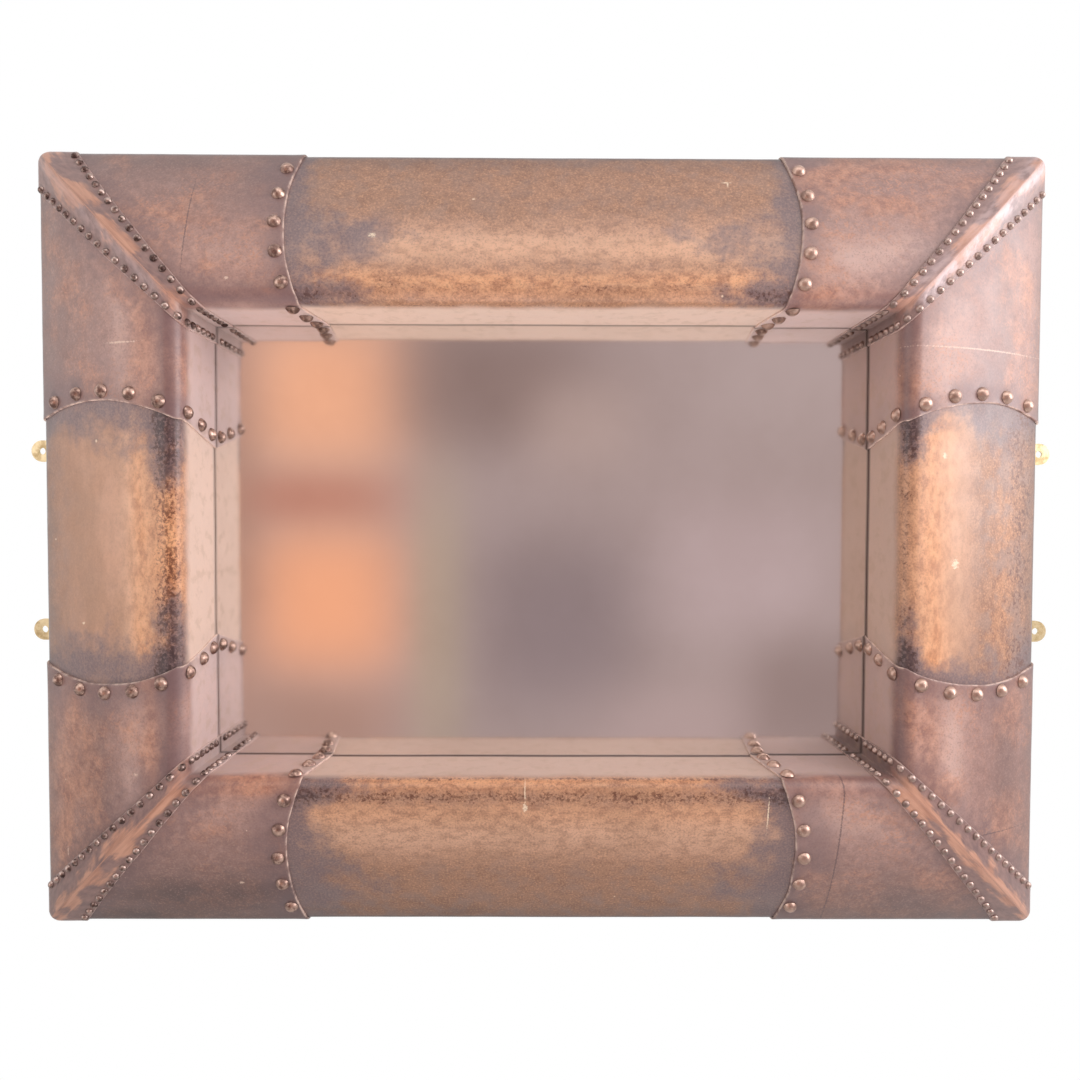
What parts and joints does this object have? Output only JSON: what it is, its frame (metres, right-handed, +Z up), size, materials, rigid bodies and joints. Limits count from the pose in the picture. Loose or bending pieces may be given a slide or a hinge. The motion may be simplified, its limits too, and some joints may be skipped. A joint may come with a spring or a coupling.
{
  "type": "leather framed wall mirror",
  "caption": "Rectangular wall mirror in a wide convex mitred frame covered in panelled leather with domed nails along seams and corner straps, hung on brass wall plates.",
  "frame": {"origin": "middle of the four wall plate holes, in the plane of the wall", "axes": "+X to the right along the wall as the viewer sees it, +Z up, and the mirror faces -Y with the wall at y = 0"},
  "size_m": [0.96, 0.0875, 0.695],
  "materials": {
    "timber": "sawn softwood",
    "tan_leather": "speckled golden tan, soft sheen",
    "brown_leather": "mottled reddish brown, rubbed edges, soft sheen",
    "strap_leather": "reddish brown, rubbed orange crease",
    "bronze": "antique bronze",
    "mirror": "polished, silvered back",
    "board": "hardboard",
    "steel": "zinc plated",
    "brass": "satin brass"
  },
  "bodies": {
    "root": {"rail_bottom": "timber", "rail_right": "timber", "rail_top": "timber", "rail_left": "timber", "centre_leather_bottom": "tan_leather", "centre_leather_right": "tan_leather", "centre_leather_top": "tan_leather", "centre_leather_left": "tan_leather", "end_leather_bottom_a": "brown_leather", "end_leather_bottom_b": "brown_leather", "end_leather_right_a": "brown_leather", "end_leather_right_b": "brown_leather", "end_leather_top_a": "brown_leather", "end_leather_top_b": "brown_leather", "end_leather_left_a": "brown_leather", "end_leather_left_b": "brown_leather", "strap_bottom_left": "strap_leather", "strap_bottom_right": "strap_leather", "strap_top_right": "strap_leather", "strap_top_left": "strap_leather", "seam_nails_bottom": "bronze", "seam_nails_right": "bronze", "seam_nails_top": "bronze", "seam_nails_left": "bronze", "strap_nails_bottom_left": "bronze", "strap_nails_bottom_right": "bronze", "strap_nails_top_right": "bronze", "strap_nails_top_left": "bronze", "mirror_glass": "mirror", "glass_spacers": "timber", "backing_board": "board", "backing_screws": "steel", "wall_plate_left_low": "brass", "wall_plate_left_high": "brass", "wall_plate_right_low": "brass", "wall_plate_right_high": "brass", "plate_screws": "brass"}
  },
  "joints": []
}
